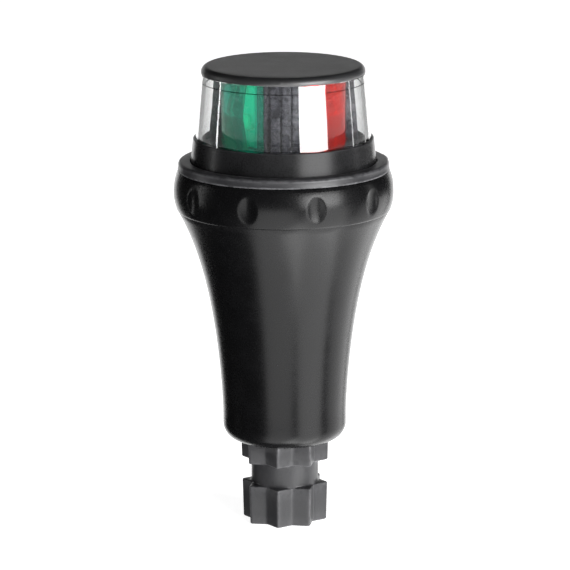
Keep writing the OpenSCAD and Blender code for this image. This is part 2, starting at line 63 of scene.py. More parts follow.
# ---------------------------------------------------------------- camera
# A long lens a metre and a half in front of the bow, a little above the lantern and
# aimed at the middle of the grip, so that the cap's top and the flange ring both show.
MM = 0.001
eye = Vector((24.35, -1447.7, 419.5)) * MM
aim = Vector((0.34, 0.0, 87.2)) * MM
tilt = math.radians(-0.2235)

camera = bpy.data.objects.new("camera", bpy.data.cameras.new("camera"))
camera.data.lens = 259.4
camera.data.sensor_width = 36.0
camera.data.clip_start = 0.05
camera.data.clip_end = 30.0
look = (aim - eye).to_track_quat("-Z", "Y").to_matrix().to_4x4()
camera.matrix_world = Matrix.Translation(eye) @ look @ Matrix.Rotation(tilt, 4, "Z")
scene.collection.objects.link(camera)
scene.camera = camera
scene.view_settings.view_transform = "Standard"


# ---------------------------------------------------------------- studio
# A white sweep; a bright key box level with the lantern to the camera's right, a weak fill
# in front, long low boxes that light the grip, thin edge lights and a box behind.
class Shade:
    """A shader value. Python's own operators on it add Math nodes to its tree."""

    def __init__(self, tree, socket=None):
        self.tree = tree
        self.socket = socket

    def node(self, kind, settings=None, inputs=None, out=0):
        made = self.tree.nodes.new(kind)
        for key, value in (settings or {}).items():
            if key == "stops":
                ramp = made.color_ramp.elements
                while len(ramp) < len(value):
                    ramp.new(0.5)
                for stop, (place, tone) in zip(ramp, value):
                    stop.position = place
                    stop.color = (*tone, 1.0)
            else:
                setattr(made, key, value)
        for key, value in (inputs or {}).items():
            if isinstance(value, Shade):
                self.tree.links.new(value.socket, made.inputs[key])
            else:
                made.inputs[key].default_value = value
        return Shade(self.tree, made.outputs[out])

    def work(self, operation, first, second):
        return self.node("ShaderNodeMath", {"operation": operation}, {0: first, 1: second})

    def __add__(self, other):
        return self.work("ADD", self, other)

    def __sub__(self, other):
        return self.work("SUBTRACT", self, other)

    def __mul__(self, other):
        return self.work("MULTIPLY", self, other)

    def least(self, other):
        return self.work("MINIMUM", self, other)

    def most(self, other):
        return self.work("MAXIMUM", self, other)

    def over(self, edge, soft):
        """0 below edge, 1 above it, with a soft step between."""
        return self.node("ShaderNodeMapRange", {"interpolation_type": "SMOOTHSTEP"},
                         {0: self, 1: edge - soft, 2: edge + soft})

    def between(self, low, high):
        """The colour low where this value is 0 and high where it is 1."""
        ends = {0: self}
        for key, tone in ((6, low), (7, high)):
            ends[key] = tone if isinstance(tone, Shade) else (*tone, 1.0)
        return self.node("ShaderNodeMix", {"data_type": "RGBA"}, ends, out=2)


lamp_target = Vector((0, 0, 0.1))


def softbox(name, azimuth, height, distance, wide, tall, glow):
    """A soft lamp that faces the axis, azimuth counted from dead ahead towards +X. Metres."""
    lamp = bpy.data.lights.new(name, "AREA")
    lamp.shape = "RECTANGLE"
    lamp.size = wide
    lamp.size_y = tall
    lamp.energy = glow * wide * tall * 4
    made = bpy.data.objects.new(name, lamp)
    turn = math.radians(azimuth)
    stand = Vector((math.sin(turn) * distance, -math.cos(turn) * distance, height))
    facing = lamp_target - stand
    turned = facing.to_track_quat("-Z", "Y").to_matrix().to_4x4()
    made.matrix_world = Matrix.Translation(stand) @ turned
    made.visible_camera = False
    made.visible_transmission = False
    scene.collection.objects.link(made)
    return made


softbox("key", 41, 0.32, 1.3, 0.94, 0.65, 20.0)
softbox("fill", -8, 0.85, 1.9, 2.2, 2.0, 0.15)
softbox("low_front", -8, -1.6, 1.9, 2.15, 3.4, 4.2)
softbox("low_right", 50, -1.6, 1.9, 2.2, 3.4, 6.0)
softbox("low_side", 115, -1.6, 1.9, 2.6, 3.4, 2.6)
softbox("right_line", 104, 0.25, 1.5, 0.06, 0.9, 6.0)
softbox("left_line", -96, 0.25, 1.5, 0.08, 0.9, 12.0)
softbox("backdrop", 180, -0.85, 2.4, 3.0, 3.2, 1.7)

world = bpy.data.worlds.new("sweep")
world.use_nodes = True
scene.world = world
sky = Shade(world.node_tree)
# the room is white to the camera and straight through the clear parts, and dark in reflections
ray = sky.node("ShaderNodeLightPath", out="Is Camera Ray")
through = sky.node("ShaderNodeLightPath", out="Is Transmission Ray")
mirrored = sky.node("ShaderNodeLightPath", out="Glossy Depth")
mirror_loss = 0.6
seen = ray.most(through - mirrored * mirror_loss).most(0.0)
dim = 0.03
background = world.node_tree.nodes["Background"]
background.inputs["Color"].default_value = (1, 1, 1, 1)
world.node_tree.links.new((seen * (1 - dim) + dim).socket, background.inputs["Strength"])

sweep_r = 7.0
fibre_scale = 900.0
paper_glow = 0.9
floor_mesh = bpy.data.meshes.new("floor")
sweep = bmesh.new()
bmesh.ops.create_circle(sweep, cap_ends=True, radius=sweep_r, segments=64)
sweep.to_mesh(floor_mesh)
sweep.free()
floor = bpy.data.objects.new("floor", floor_mesh)
scene.collection.objects.link(floor)
floor.visible_glossy = False
floor.visible_shadow = False
paper = bpy.data.materials.new("pale_paper")
paper.use_nodes = True
start = Shade(paper.node_tree)
place = start.node("ShaderNodeTexCoord", out="Object")
fibre = start.node("ShaderNodeTexNoise", None,
                   {"Vector": place, "Scale": fibre_scale, "Detail": 3.0})
card = paper.node_tree.nodes["Principled BSDF"]
card.inputs["Roughness"].default_value = 0.9
card.inputs["Emission Strength"].default_value = paper_glow
paper.node_tree.links.new(fibre.between((0.78, 0.78, 0.78), (0.84, 0.84, 0.84)).socket,
                          card.inputs["Base Color"])
# the sweep is clear from underneath, so that the spigot's end face can be looked at
back = start.node("ShaderNodeNewGeometry", out="Backfacing")
clear = start.node("ShaderNodeBsdfTransparent")
sheet = start.node("ShaderNodeMixShader", None,
                   {0: back, 1: Shade(paper.node_tree, card.outputs[0]), 2: clear})
paper.node_tree.links.new(sheet.socket, paper.node_tree.nodes["Material Output"].inputs["Surface"])
mirrored = start.node("ShaderNodeLightPath", out="Glossy Depth")
dimmed = (mirrored * mirror_loss).least(1.0).between((1, 1, 1), (dim, dim, dim))
paper.node_tree.links.new(dimmed.socket, card.inputs["Emission Color"])
floor_mesh.materials.append(paper)
floor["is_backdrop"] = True


# ---------------------------------------------------------------- star spigot
# The eight-pointed bayonet foot, injection moulded in glass-filled nylon with a round
# locking neck, a key beside it and a counterbore for the through screw.
def reach(node):
    """Lowest and highest corner of a CAD node, in millimetres."""
    low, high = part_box(node)
    return low / MM, high / MM


def rounding(centre_r, centre_z, radius, first, last, steps):
    """Rows of a rounded corner: (radius, height) along an arc, in degrees."""
    turns = np.radians(np.linspace(first, last, steps + 1))
    return [(centre_r + radius * math.cos(t), centre_z + radius * math.sin(t)) for t in turns]


def spread(count):
    """Angles of evenly spaced sectors, counted from +X."""
    return np.arange(count) * 2 * math.pi / count


def wrap(rows, angles):
    """Points and faces of a closed skin through rows of (radius, height), last to first."""
    count = len(angles)
    points = []
    for radius, height in rows:
        radius = np.broadcast_to(radius, count)
        height = np.broadcast_to(height, count)
        points.append(np.stack([radius * np.cos(angles), radius * np.sin(angles), height], 1))
    faces = []
    for i in range(len(rows)):
        j = (i + 1) % len(rows)
        for a in range(count):
            b = (a + 1) % count
            faces.append((i * count + a, i * count + b, j * count + b, j * count + a))
    return np.concatenate(points), faces


shortest_run = 0.1
weld = 0.002
edge_round = 0.5


def mark_edges(mesh, sharpest):
    """Stores how strongly each point bulges, 1 on an edge rounded to sharpest millimetres."""
    ends = np.empty(len(mesh.edges) * 2, np.int32)
    mesh.edges.foreach_get("vertices", ends)
    ends = ends.reshape(-1, 2)
    spots = np.empty(len(mesh.vertices) * 3, np.float32)
    mesh.vertices.foreach_get("co", spots)
    spots = spots.reshape(-1, 3)
    facing = np.empty(len(mesh.vertices) * 3, np.float32)
    mesh.vertex_normals.foreach_get("vector", facing)
    facing = facing.reshape(-1, 3)
    run = spots[ends[:, 1]] - spots[ends[:, 0]]
    square = np.maximum((run ** 2).sum(1), (shortest_run * MM) ** 2)
    bulge = np.zeros(len(spots))
    for side, other in ((0, -1), (1, 1)):
        bend = other * (facing[ends[:, side]] * run).sum(1) * 2 / square
        np.maximum.at(bulge, ends[:, side], bend)
    amount = np.clip(bulge * sharpest * MM, 0, 1).astype(np.float32)
    mesh.attributes.new("edge", "FLOAT", "POINT").data.foreach_set("value", amount)


def add_piece(name, body, stands_for, skins, finish, crease=32):
    """One piece from closed skins in millimetres, on its body, in place of CAD nodes."""
    made = bmesh.new()
    for points, faces in skins:
        corners = [made.verts.new(p * MM) for p in points]
        for face in faces:
            made.faces.new([corners[i] for i in face])
    bmesh.ops.remove_doubles(made, verts=made.verts, dist=weld * MM)
    bmesh.ops.recalc_face_normals(made, faces=made.faces)
    mesh = bpy.data.meshes.new(name)
    made.to_mesh(mesh)
    made.free()
    return settle(mesh, name, body, stands_for, finish, crease)


def settle(mesh, name, body, stands_for, finish, crease):
    """Shades a finished mesh, makes it a piece and rides it on its body."""
    mesh.shade_smooth()
    mesh.set_sharp_from_angle(angle=math.radians(crease))
    mark_edges(mesh, edge_round)
    mesh.materials.clear()
    mesh.materials.append(finish)
    piece = bpy.data.objects.new(name, mesh)
    scene.collection.objects.link(piece)
    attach(piece, body)
    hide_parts(*stands_for)
    return piece


class Finish:
    """A material being made: its coordinates and the Principled shader its nodes feed."""

    def __init__(self, name, **constants):
        self.material = bpy.data.materials.new(name)
        self.material.use_nodes = True
        self.tree = self.material.node_tree
        self.shader = self.tree.nodes["Principled BSDF"]
        for key, value in constants.items():
            self.shader.inputs[key.replace("_", " ")].default_value = value
        self.place = Shade(self.tree).node("ShaderNodeTexCoord", out="Object")

    def noise(self, size, detail=2.0):
        """Noise whose features are about size millimetres across."""
        return self.place.node("ShaderNodeTexNoise", None,
                               {"Vector": self.place, "Scale": 1 / (size * MM), "Detail": detail})

    def edge(self):
        return self.place.node("ShaderNodeAttribute", {"attribute_name": "edge"}, out="Fac")

    def height(self):
        """Height above the spigot's end face, in millimetres."""
        return self.place.node("ShaderNodeSeparateXYZ", None, {0: self.place}, out=2) * 1000.0

    def feed(self, key, value):
        self.tree.links.new(value.socket, self.shader.inputs[key])

    def bump(self, relief, depth):
        """Raises the surface by relief times depth millimetres."""
        raised = self.place.node("ShaderNodeBump", None,
                                 {"Strength": 1.0, "Distance": depth * MM, "Height": relief})
        self.feed("Normal", raised)


def moulded(name, dark, pale, roughness, gloss, grain, depth, wear_and_highlight=0.35):
    """Moulded plastic: mottled colour, spark-eroded grain, and edges painted paler, partly as
    rubbed wear and partly as a painted highlight.
    """
    made = Finish(name, Specular_IOR_Level=gloss)
    cloud = made.noise(9.0, 4.0)
    fleck = made.noise(grain, 3.0)
    # convex edges are painted up to about three times paler: partly rubbed wear, partly a painted
    # highlight where light catches them
    worn_and_highlit = (made.edge() * made.noise(1.6, 3.0).over(0.45, 0.2)) * wear_and_highlight
    tone = (cloud * 0.6 + fleck * 0.4).over(0.5, 0.25).between(dark, pale)
    made.feed("Base Color", worn_and_highlit.between(tone, tuple(3.2 * c + 0.012 for c in pale)))
    made.feed("Roughness", (cloud - 0.5) * 0.10 + (fleck - 0.5) * 0.12 + roughness + worn_and_highlit * 0.1)
    made.bump(fleck + cloud * 0.8, depth)
    return made.material


spigot_high = reach("star_spigot")[1]
grip_low, grip_high = reach("grip_body")
star_tip = 15.4
star_draft = math.tan(math.radians(1.35))
star_turn = math.radians(-8.6)
lower_star_top = 14.2
neck_top = 22.6
neck_r = 12.2
counterbore_r = 4.8
screw_hole_r = 2.75
socket_head = 5.0
screw_seat = reach("spigot_screw")[0].z + socket_head
register_half = 7.0
under = grip_low.z
valley_ease = 0.3
star_soft = 0.22
end_ease = 0.6
step_ease = 0.5
upper_ease = 0.45
neck_fillet_r = 0.7
key_half = 1.5
key_out = 1.2
key_foot = lower_star_top + 0.75
key_top = lower_star_top + 2.3
key_ease = 0.2
spigot_angles = spread(400)


def star(z, inset=0.0):
    """Radius of the eight-pointed outline at height z, tips and valleys rounded."""
    flat = (star_tip + valley_ease + z * star_draft) / math.sqrt(2)
    squares = []
    for turn in (star_turn, star_turn + math.pi / 4):
        local = spigot_angles - turn
        squares.append(flat / np.maximum(abs(np.cos(local)), abs(np.sin(local))))
    outline = star_soft * np.logaddexp(squares[0] / star_soft, squares[1] / star_soft)
    tip = star_tip + z * star_draft
    return -star_soft * np.logaddexp(-outline / star_soft, -tip / star_soft) - inset


def square(half, corner=0.6):
    """Radius of a square with softened corners."""
    plain = half / np.maximum(abs(np.cos(spigot_angles)), abs(np.sin(spigot_angles)))
    return np.minimum(plain, half * math.sqrt(2) - corner)


def star_edge(z, rise, radius, steps=4):
    """Rows of the rounded edge where the star's side meets a level face at z."""
    rows = []
    for i in range(steps + 1):
        t = math.pi / 2 * i / steps
        rows.append((star(z, radius * (1 - math.cos(t))), z - rise * radius * (1 - math.sin(t))))
    return rows


def neck_fillet(z, rise, star_z):
    """Rows of the fillet between a star's level face at z and the round neck."""
    room = np.clip(star(star_z) - step_ease - neck_r, 0, neck_fillet_r)
    rows = []
    for i in range(5):
        t = math.pi / 2 * i / 4
        rows.append((neck_r + room * (1 - math.sin(t)),
                     z + rise * neck_fillet_r * (1 - math.cos(t))))
    return rows


def with_key(radius):
    """The neck's radius with the locking key beside the port tip added."""
    key_azimuth = math.radians(128 - 90)
    off = (spigot_angles - key_azimuth + math.pi) % (2 * math.pi) - math.pi
    ahead = abs(off) < math.pi / 2
    face = (neck_r + key_out) / np.cos(np.where(ahead, off, 0))
    side = key_half / np.maximum(abs(np.sin(off)), 1e-3)
    return np.where(ahead, np.maximum(radius, np.minimum(face, side)), radius)


bore_ease = 0.4
spigot_rows = [(counterbore_r + bore_ease, 0.0)]
spigot_rows += list(reversed(star_edge(0.0, -1, end_ease)))
spigot_rows += [(star(z), z) for z in (4.0, 9.0)]
spigot_rows += star_edge(lower_star_top, 1, step_ease)
spigot_rows += neck_fillet(lower_star_top, 1, lower_star_top)
spigot_rows += [(with_key(neck_r), key_foot), (with_key(neck_r), key_top),
                ((with_key(neck_r) + neck_r) / 2, key_top + key_ease),
                (neck_r, key_top + key_ease + 0.05), (neck_r, neck_top - 2.0)]
spigot_rows += list(reversed(neck_fillet(neck_top, -1, neck_top)))
spigot_rows += list(reversed(star_edge(neck_top, -1, upper_ease)))
spigot_rows += [(star(27.0), 27.0), (star(under - 0.3), under - 0.3), (star(under, 0.25), under)]
spigot_rows += [(square(register_half), under), (square(register_half), spigot_high.z - bore_ease),
                (square(register_half - bore_ease), spigot_high.z), (screw_hole_r, spigot_high.z),
                (screw_hole_r, screw_seat), (counterbore_r, screw_seat),
                (counterbore_r, bore_ease)]

# the star's rounded edges are painted paler: a painted highlight, besides some rubbed wear
spigot_nylon = moulded("spigot_nylon", (0.010, 0.010, 0.011), (0.017, 0.017, 0.018),
                       0.38, 0.2, 0.5, 0.012, wear_and_highlight=0.5)
add_piece("bayonet_spigot", "grip", ["star_spigot"],
          [wrap(spigot_rows, spigot_angles)], spigot_nylon, crease=38)


# ---------------------------------------------------------------- through screw
# A stainless socket-head screw up through the spigot, its nut inside the grip on a plain
# washer, and a soft washer that keeps water out of the battery space.
def dress(node, finish):
    """Gives a CAD node its finish."""
    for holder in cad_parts[node].material_slots:
        holder.material = finish


def metal(name, colour, dull, roughness, scratch):
    """Bare metal: uneven tarnish and fine scratches."""
    made = Finish(name)
    made.shader.inputs["Metallic"].default_value = 1.0
    cloud = made.noise(2.5, 4.0)
    fine = made.noise(scratch, 2.0)
    made.feed("Base Color", cloud.over(0.5, 0.2).between(dull, colour))
    made.feed("Roughness", (cloud - 0.5) * 0.15 + (fine - 0.5) * 0.2 + roughness)
    made.bump(fine, 0.006)
    return made.material


def rubber(name, dark, pale):
    """Cured rubber: matt, with a bloom and a fine pimpled skin."""
    made = Finish(name, Specular_IOR_Level=0.3)
    bloom = made.noise(1.8, 4.0)
    skin = made.noise(0.25, 2.0)
    made.feed("Base Color", bloom.over(0.55, 0.2).between(dark, pale))
    made.feed("Roughness", bloom * 0.2 + 0.6)
    made.bump(skin, 0.02)
    return made.material


stainless = metal("turned_stainless", (0.66, 0.66, 0.67), (0.48, 0.48, 0.50), 0.27, 0.15)
seal_rubber = rubber("black_rubber", (0.012, 0.012, 0.012), (0.03, 0.03, 0.031))
for node in ("spigot_screw", "steel_washer", "spigot_nut"):
    dress(node, stainless)
dress("seal_washer", seal_rubber)


# ---------------------------------------------------------------- grip
# The battery case and hand grip in one moulding of satin black plastic, with ten finger
# scallops round its band, ribs that guide the battery carrier and a threaded mouth.
crease_z = 115.6
band_z = 122.5
rim_z = grip_high.z
waist_top = 42.0
waist_r = 22.36
crease_r = 38.15
band_r = 39.65
band_arc = 18.31
mouth_r = 34.6
mouth_z = 113.6
floor_z = 36.6
wall = 2.8
scallops = 10
scallop_depth = 1.0
scallop_cutter = 7.5
scallop_bow = 38.0
scallop_soft = 0.085
thread_lead = 4.0
ridge_turns = 1.25
ridge_depth = 1.3
ridge_foot = 0.9
ridge_flank = 0.4
ridge_taper = 0.03
thread_step = 0.26
key_rib_tip = 16.96
guide_rib_tip = 18.86
rib_half = 1.2
rib_reach = 0.5
rib_top = 110.6
rim_ease = 0.45
lead_in = 0.4
grip_angles = spread(480)


def flare(z):
    """The grip's outer radius between waist and crease."""
    u = (z - waist_top) / (crease_z - waist_top)
    share = 0.187 * u + 0.57 * u ** 2 + 0.243 * u ** 5
    return waist_r + (crease_r - waist_r) * share


def off_azimuth(angles, azimuth):
    """Signed angle from an azimuth, azimuth counted from dead ahead towards +X."""
    return (angles - math.radians(azimuth - 90) + math.pi) % (2 * math.pi) - math.pi


def band(z):
    """The finger band's radius at height z, with its scallops blended in."""
    plain = band_r - band_arc + math.sqrt(band_arc ** 2 - (z - band_z) ** 2)
    centre = band_r - scallop_depth + scallop_cutter
    bite = scallop_cutter - scallop_bow + math.sqrt(scallop_bow ** 2 - (z - band_z) ** 2)
    outline = np.full(len(grip_angles), plain)
    for i in range(scallops):
        off = off_azimuth(grip_angles, 360 / scallops * (i + 0.5))
        across = bite ** 2 - (centre * np.sin(off)) ** 2
        hit = (across > 0) & (abs(off) < math.pi / 2)
        cut = np.where(hit, centre * np.cos(off) - np.sqrt(np.maximum(across, 0)), plain + 9)
        outline = -scallop_soft * np.logaddexp(-outline / scallop_soft, -cut / scallop_soft)
    return outline


def ridge(angles, z, start_z, first):
    """Height of a helical thread ridge over its root, tapered at both ends."""
    tallest = np.zeros(len(angles))
    for lap in range(-1, 3):
        turned = angles - math.radians(first) + lap * 2 * math.pi
        share = turned / (2 * math.pi)
        off = abs(z - start_z - thread_lead * share)
        rise = np.clip((ridge_foot - off) / ridge_flank, 0, 1)
        ends = (np.clip(share / ridge_taper, 0, 1)
                * np.clip((ridge_turns - share) / ridge_taper, 0, 1))
        tallest = np.maximum(tallest, ridge_depth * rise * ends)
    return tallest


def ribbed(radius):
    """The battery space's radius: a slot at each rib's middle, filled to its tip on both sides."""
    inner = np.full(len(grip_angles), float(radius))
    for i in range(6):
        tip = key_rib_tip if i % 2 else guide_rib_tip
        off = off_azimuth(grip_angles, 60 * i)
        side = rib_half / np.maximum(abs(np.sin(off)), 1e-3)
        near = np.maximum(tip, side)
        inner = np.where(abs(off) < rib_reach, np.minimum(inner, near), inner)
    return inner


foot = 6.0
pocket = 7.15
pocket_z = under + 2.55


def pocket_square():
    """Radius of the square pocket that takes the spigot's register."""
    plain = pocket / np.maximum(abs(np.cos(grip_angles)), abs(np.sin(grip_angles)))
    return np.minimum(plain, pocket * math.sqrt(2) - 0.4)


pocket_ease = 0.2
grip_rows = [(screw_hole_r, pocket_z), (pocket_square(), pocket_z),
             (pocket_square(), under + pocket_ease), (pocket_square() + pocket_ease, under)]
grip_rows += rounding(waist_r - foot, under + foot, foot, -90, 0, 10)
waist_mid = 39.0
grip_rows += [(waist_r, z) for z in (waist_mid, waist_top)]
grip_rows += [(flare(z), z) for z in np.linspace(waist_top + 2, crease_z - 0.12, 34)]
grip_rows += [(crease_r - 0.06, crease_z - 0.02), (crease_r - 0.02, crease_z + 0.05),
              (crease_r + 0.13, crease_z + 0.14)]
grip_rows += [(band(z), z) for z in np.linspace(crease_z + 0.4, rim_z - 0.75, 34)]
rim_r = band_r - band_arc + math.sqrt(band_arc ** 2 - (rim_z - band_z) ** 2)
grip_rows += rounding(rim_r - rim_ease, rim_z - rim_ease, 0.5, 10, 90, 4)
grip_rows += [(mouth_r + lead_in, rim_z), (mouth_r + 0.1, rim_z - 0.12),
              (mouth_r, rim_z - lead_in)]
grip_rows += [(mouth_r - ridge(grip_angles, z, mouth_z + 3.6, 0), z)
              for z in np.arange(rim_z - 5.4, mouth_z + 2.4, -thread_step)]
grip_rows += [(mouth_r, mouth_z + lead_in)]
grip_rows += [(min(flare(z) - wall, mouth_r), z) for z in np.linspace(mouth_z, rib_top + 0.3, 4)]
grip_rows += [(ribbed(flare(rib_top) - wall), rib_top - 0.05)]
grip_rows += [(ribbed(flare(z) - wall), z) for z in np.linspace(108, waist_top, 12)]
grip_rows += [(ribbed(waist_r - wall), z) for z in (waist_mid, floor_z + 0.8)]
grip_rows += [(ribbed(waist_r - wall) - d, z) for d, z in ((0.25, floor_z + 0.25), (0.8, floor_z))]
grip_rows += [(screw_hole_r, floor_z)]

satin_black = moulded("satin_black", (0.001, 0.001, 0.0011), (0.002, 0.002, 0.0022),
                      0.27, 0.12, 0.6, 0.006, wear_and_highlight=0.12)
add_piece("grip_case", "grip", ["grip_body"],
          [wrap(grip_rows, grip_angles)], satin_black, crease=34)


# ---------------------------------------------------------------- springs
# Wound from round wire and closed at the ends: the lift spring under the battery carrier,
# a contact spring for each cell and the brass centre contact under the driver board.
def coil_tree():
    """A wire wound along a rising, tapering helix; sizes are its named inputs."""
    tree = bpy.data.node_groups.new("wound_spring", "GeometryNodeTree")
    tree.is_modifier = True
    sizes = {}
    for name, kind in (("Turns", "NodeSocketFloat"), ("Low radius", "NodeSocketFloat"),
                       ("High radius", "NodeSocketFloat"), ("Height", "NodeSocketFloat"),
                       ("Wire radius", "NodeSocketFloat"), ("Centre", "NodeSocketVector"),
                       ("Wire", "NodeSocketMaterial")):
        sizes[name] = tree.interface.new_socket(name, in_out="INPUT", socket_type=kind)
    tree.interface.new_socket("Geometry", in_out="OUTPUT", socket_type="NodeSocketGeometry")
    given = tree.nodes.new("NodeGroupInput")
    spiral = tree.nodes.new("GeometryNodeCurveSpiral")
    spiral.inputs["Resolution"].default_value = 28
    wire = tree.nodes.new("GeometryNodeCurvePrimitiveCircle")
    wire.inputs["Resolution"].default_value = 10
    sweep = tree.nodes.new("GeometryNodeCurveToMesh")
    sweep.inputs["Fill Caps"].default_value = True
    shift = tree.nodes.new("GeometryNodeTransform")
    real = tree.nodes.new("GeometryNodeRealizeInstances")
    paint = tree.nodes.new("GeometryNodeSetMaterial")
    made = tree.nodes.new("NodeGroupOutput")
    link = tree.links.new
    link(given.outputs["Turns"], spiral.inputs["Rotations"])
    link(given.outputs["Low radius"], spiral.inputs["Start Radius"])
    link(given.outputs["High radius"], spiral.inputs["End Radius"])
    link(given.outputs["Height"], spiral.inputs["Height"])
    link(given.outputs["Wire radius"], wire.inputs["Radius"])
    link(spiral.outputs["Curve"], sweep.inputs["Curve"])
    link(wire.outputs["Curve"], sweep.inputs["Profile Curve"])
    link(sweep.outputs["Mesh"], shift.inputs["Geometry"])
    link(given.outputs["Centre"], shift.inputs["Translation"])
    link(shift.outputs["Geometry"], real.inputs["Geometry"])
    link(real.outputs["Geometry"], paint.inputs["Geometry"])
    link(given.outputs["Wire"], paint.inputs["Material"])
    link(paint.outputs["Geometry"], made.inputs[0])
    return tree, {name: socket.identifier for name, socket in sizes.items()}


def grown(name, tree, sockets, values):
    """The plain mesh that a tree of nodes makes from its values."""
    seed = bpy.data.objects.new(name + "_seed", bpy.data.meshes.new(name + "_seed"))
    scene.collection.objects.link(seed)
    maker = seed.modifiers.new("maker", "NODES")
    maker.node_group = tree
    for key, value in values.items():
        maker[sockets[key]] = value
    ready = seed.evaluated_get(bpy.context.evaluated_depsgraph_get())
    mesh = bpy.data.meshes.new_from_object(ready)
    bpy.data.objects.remove(seed)
    return mesh


def joined(name, meshes):
    """One mesh from several, welded and facing outwards."""
    made = bmesh.new()
    for mesh in meshes:
        made.from_mesh(mesh)
    bmesh.ops.remove_doubles(made, verts=made.verts, dist=weld * MM)
    bmesh.ops.recalc_face_normals(made, faces=made.faces)
    mesh = bpy.data.meshes.new(name)
    made.to_mesh(mesh)
    made.free()
    return mesh


def springs(name, body, node, finish, coils):
    """Springs as one piece; a coil is (x, y, low, high, low radius, high radius, wire, turns)."""
    tree, sockets = coil_tree()
    meshes = []
    for x, y, low, high, low_r, high_r, wire, turns in coils:
        meshes.append(grown(name, tree, sockets, {
            "Turns": float(turns), "Low radius": low_r * MM, "High radius": high_r * MM,
            "Height": (high - low - 2 * wire) * MM, "Wire radius": wire * MM,
            "Centre": (x * MM, y * MM, (low + wire) * MM), "Wire": finish}))
    return settle(joined(name, meshes), name, body, [node], finish, 40)


spring_steel = metal("spring_wire", (0.60, 0.59, 0.57), (0.42, 0.41, 0.40), 0.30, 0.12)
brass = metal("contact_brass", (0.78, 0.60, 0.26), (0.55, 0.40, 0.16), 0.28, 0.15)
lift_r = 12.55
contact_coil_h = 4.5
lift_low, lift_high = reach("lift_spring")
springs("carrier_lift_spring", "grip", "lift_spring", spring_steel,
        [(0, 0, lift_low.z, lift_high.z, lift_r, lift_r, 0.6, 3.5)])

cell_spots = []
for number in (1, 2, 3):
    low, high = reach(f"cell_{number}")
    cell_spots.append(((low.x + high.x) / 2, (low.y + high.y) / 2))
spring_low, spring_high = reach("cell_springs")
springs("cell_contact_springs", "pack", "cell_springs", spring_steel,
        [(*cell_spots[0], spring_low.z, spring_low.z + contact_coil_h, 4.6, 2.6, 0.4, 3.0),
         (*cell_spots[2], spring_low.z, spring_low.z + contact_coil_h, 4.6, 2.6, 0.4, 3.0),
         (*cell_spots[1], spring_high.z - contact_coil_h, spring_high.z, 2.6, 4.6, 0.4, 3.0)])


# ---------------------------------------------------------------- battery carrier
# Two keyed end plates on three posts, moulded in grey plastic, that hold the cells in
# line; nickel links join them and a brass stud and ring on top meet the head's contacts.
jacket_seam = 78.0


def cell_jacket():
    """A shrunk plastic jacket in two tones, with pale grey scuffs here and there."""
    made = Finish("cell_jacket", Specular_IOR_Level=0.5)
    upper = made.height().over(jacket_seam, 0.3)
    wrap_tone = upper.between((0.02, 0.02, 0.022), (0.50, 0.30, 0.06))
    scuff = made.noise(1.2, 3.0).over(0.62, 0.06) * 0.3
    made.feed("Base Color", scuff.between(wrap_tone, (0.35, 0.33, 0.30)))
    made.feed("Roughness", made.noise(3.0) * 0.2 + 0.2)
    made.bump(made.noise(0.6), 0.01)
    return made.material


carrier_grey = moulded("carrier_grey", (0.035, 0.037, 0.040), (0.05, 0.053, 0.058),
                       0.45, 0.4, 0.4, 0.01)
nickel = metal("nickel_strip", (0.66, 0.65, 0.60), (0.50, 0.49, 0.45), 0.33, 0.2)
jacket = cell_jacket()
dress("battery_carrier", carrier_grey)
for number in (1, 2, 3):
    dress(f"cell_{number}", jacket)
dress("cell_links", nickel)
dress("return_strip", nickel)
dress("centre_stud", brass)
dress("contact_ring", brass)


# ---------------------------------------------------------------- head moulding
# The lantern's base: a skirt with its own thread ridge, a land with the groove for the
# O-ring, a snap tongue for the flange ring, and the collar that the clear lens sits in.
ring_low, ring_high = reach("flange_ring")
base_low, base_high = reach("head_base")
lens_low, lens_high = reach("clear_lens")
skirt_r = 33.0
skirt_in = 30.5
land_r = 34.3
groove_r = 32.55
groove_z = 126.1
tongue_r = base_high.x
tongue_z = 131.0
tongue_t = 1.3
land_z = 124.0
groove_w = 2.4
ease = 0.15
collar_r = 33.35
collar_top_r = 32.5
collar_z = base_high.z
seat_r = lens_high.x + 0.1
shelf_z = 135.4
shelf_r = 23.5
shelf_under = 131.9
head_angles = spread(420)

head_rows = [(skirt_in + 0.2, base_low.z), (skirt_r - 0.3, base_low.z),
             (skirt_r, base_low.z + 0.3)]
head_rows += [(skirt_r + ridge(head_angles, z, mouth_z + 2.93, 120), z)
              for z in np.arange(base_low.z + 0.45, land_z - 0.4, thread_step)]
head_rows += [(skirt_r, land_z), (land_r - 0.15, land_z + 0.55), (land_r, land_z + 0.8),
              (land_r, groove_z - 0.1), (land_r - 0.1, groove_z), (groove_r, groove_z),
              (groove_r, groove_z + groove_w), (land_r - 0.1, groove_z + groove_w),
              (land_r, groove_z + groove_w + 0.1), (land_r, tongue_z),
              (tongue_r - ease, tongue_z), (tongue_r, tongue_z + ease),
              (tongue_r, tongue_z + tongue_t - ease), (tongue_r - ease, tongue_z + tongue_t),
              (collar_r + 0.1, tongue_z + tongue_t), (collar_r, tongue_z + tongue_t + ease)]
lip = 0.45
head_rows += [(collar_r - (collar_r - collar_top_r) * u,
               ring_high.z + (collar_z - lip - ring_high.z) * u) for u in np.linspace(0, 1, 5)]
head_rows += rounding(collar_top_r - lip, collar_z - lip, lip, 10, 90, 5)
head_rows += [(seat_r + ease, collar_z), (seat_r, collar_z - ease), (seat_r, shelf_z),
              (shelf_r + 0.2, shelf_z), (shelf_r, shelf_z - 0.2), (shelf_r, shelf_under),
              (skirt_in, shelf_under), (skirt_in, base_low.z + 0.2)]


